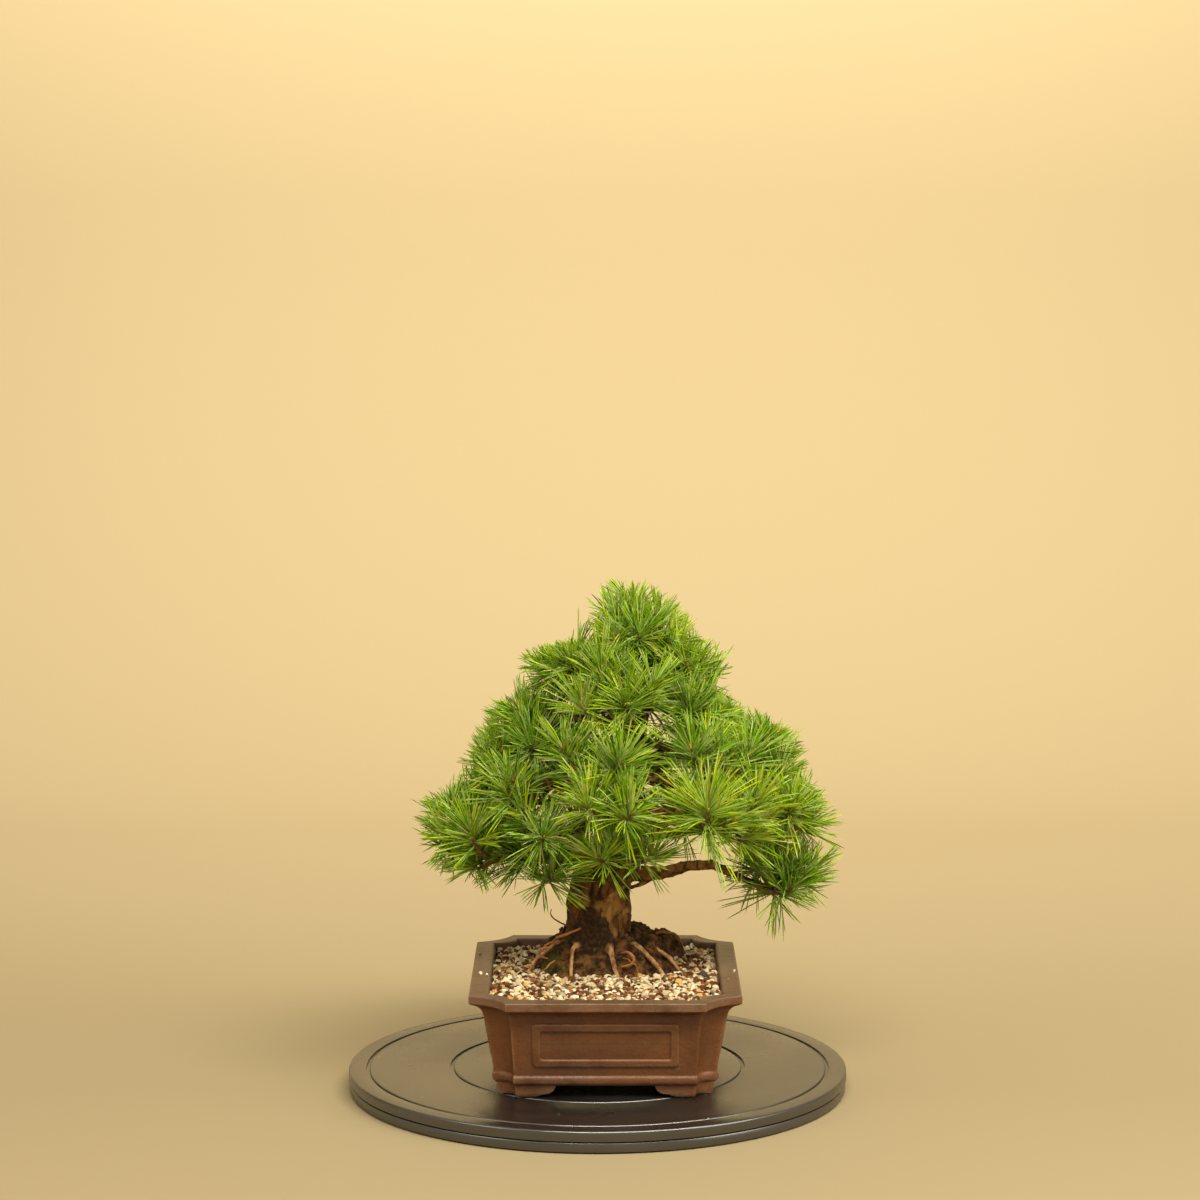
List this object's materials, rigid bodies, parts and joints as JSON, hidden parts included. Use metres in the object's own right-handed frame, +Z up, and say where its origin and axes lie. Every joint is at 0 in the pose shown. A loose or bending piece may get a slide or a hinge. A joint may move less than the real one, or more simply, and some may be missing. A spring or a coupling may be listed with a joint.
{
  "type": "japanese white pine bonsai",
  "caption": "Small conical white pine with dense needle sprays on a stout trunk, in an unglazed rectangular pot on a round swivelling turntable.",
  "frame": {"origin": "on the floor, on the swivel axis of the turntable, under the centre of its round deck", "axes": "+Z up along the swivel axis, +Y away from the viewer towards the tree's back, +X to the viewer's right, along the short side of the pot"},
  "size_m": [0.4, 0.4, 0.4118],
  "materials": {
    "black_plastic": "satin, lightly dusty",
    "ball_steel": "polished",
    "pin_steel": "zinc plated",
    "pad_rubber": "matt",
    "unglazed_stoneware": "unglazed, dull sheen",
    "drain_mesh": "matt",
    "pumice_and_akadama": "dry porous grit",
    "old_root_ball": "damp muck with moss",
    "pine_wood": "flaking bark",
    "pine_needles": "waxy needles"
  },
  "bodies": {
    "base": {"turntable_base": "black_plastic", "bearing_balls": "ball_steel", "pivot_pin": "pin_steel", "rubber_pad_1": "pad_rubber", "rubber_pad_2": "pad_rubber", "rubber_pad_3": "pad_rubber", "rubber_pad_4": "pad_rubber"},
    "deck": {"pot": "unglazed_stoneware", "drain_screen_front": "drain_mesh", "drain_screen_back": "drain_mesh", "trunk_and_branches": "pine_wood", "root_mound": "old_root_ball", "soil": "pumice_and_akadama", "spray_apex_leader": "pine_needles", "spray_apex_left": "pine_needles", "spray_apex_right": "pine_needles", "spray_apex_back": "pine_needles", "spray_crown_star": "pine_needles", "spray_crown_right": "pine_needles", "spray_crown_front_left": "pine_needles", "spray_crown_left": "pine_needles", "spray_crown_back": "pine_needles", "spray_crown_back_left": "pine_needles", "spray_shoulder_right": "pine_needles", "spray_shoulder_left": "pine_needles", "spray_shoulder_back_left": "pine_needles", "spray_shoulder_back_right": "pine_needles", "spray_high_front": "pine_needles", "spray_high_front_right": "pine_needles", "spray_high_right": "pine_needles", "spray_high_back": "pine_needles", "spray_high_back_left": "pine_needles", "spray_high_back_right": "pine_needles", "spray_high_left": "pine_needles", "spray_front_star": "pine_needles", "spray_front_centre": "pine_needles", "spray_front_left": "pine_needles", "spray_front_right": "pine_needles", "spray_left_front": "pine_needles", "spray_left_far": "pine_needles", "spray_left_low": "pine_needles", "spray_left_back": "pine_needles", "spray_left_under": "pine_needles", "spray_right_low": "pine_needles", "spray_right_tip": "pine_needles", "spray_right_far": "pine_needles", "spray_right_back": "pine_needles", "spray_low_front": "pine_needles", "spray_low_back_left": "pine_needles", "spray_low_back": "pine_needles", "spray_low_back_right": "pine_needles", "spray_low_right_back": "pine_needles", "spray_back_star": "pine_needles", "spray_back_left": "pine_needles", "spray_back_right": "pine_needles", "turntable_top": "black_plastic"}
  },
  "joints": [
    {"name": "turntable_swivel", "type": "hinge", "parent": "base", "child": "deck", "pos_m": [0, 0, 0.009], "axis": [0, 0, 1], "continuous": true}
  ]
}
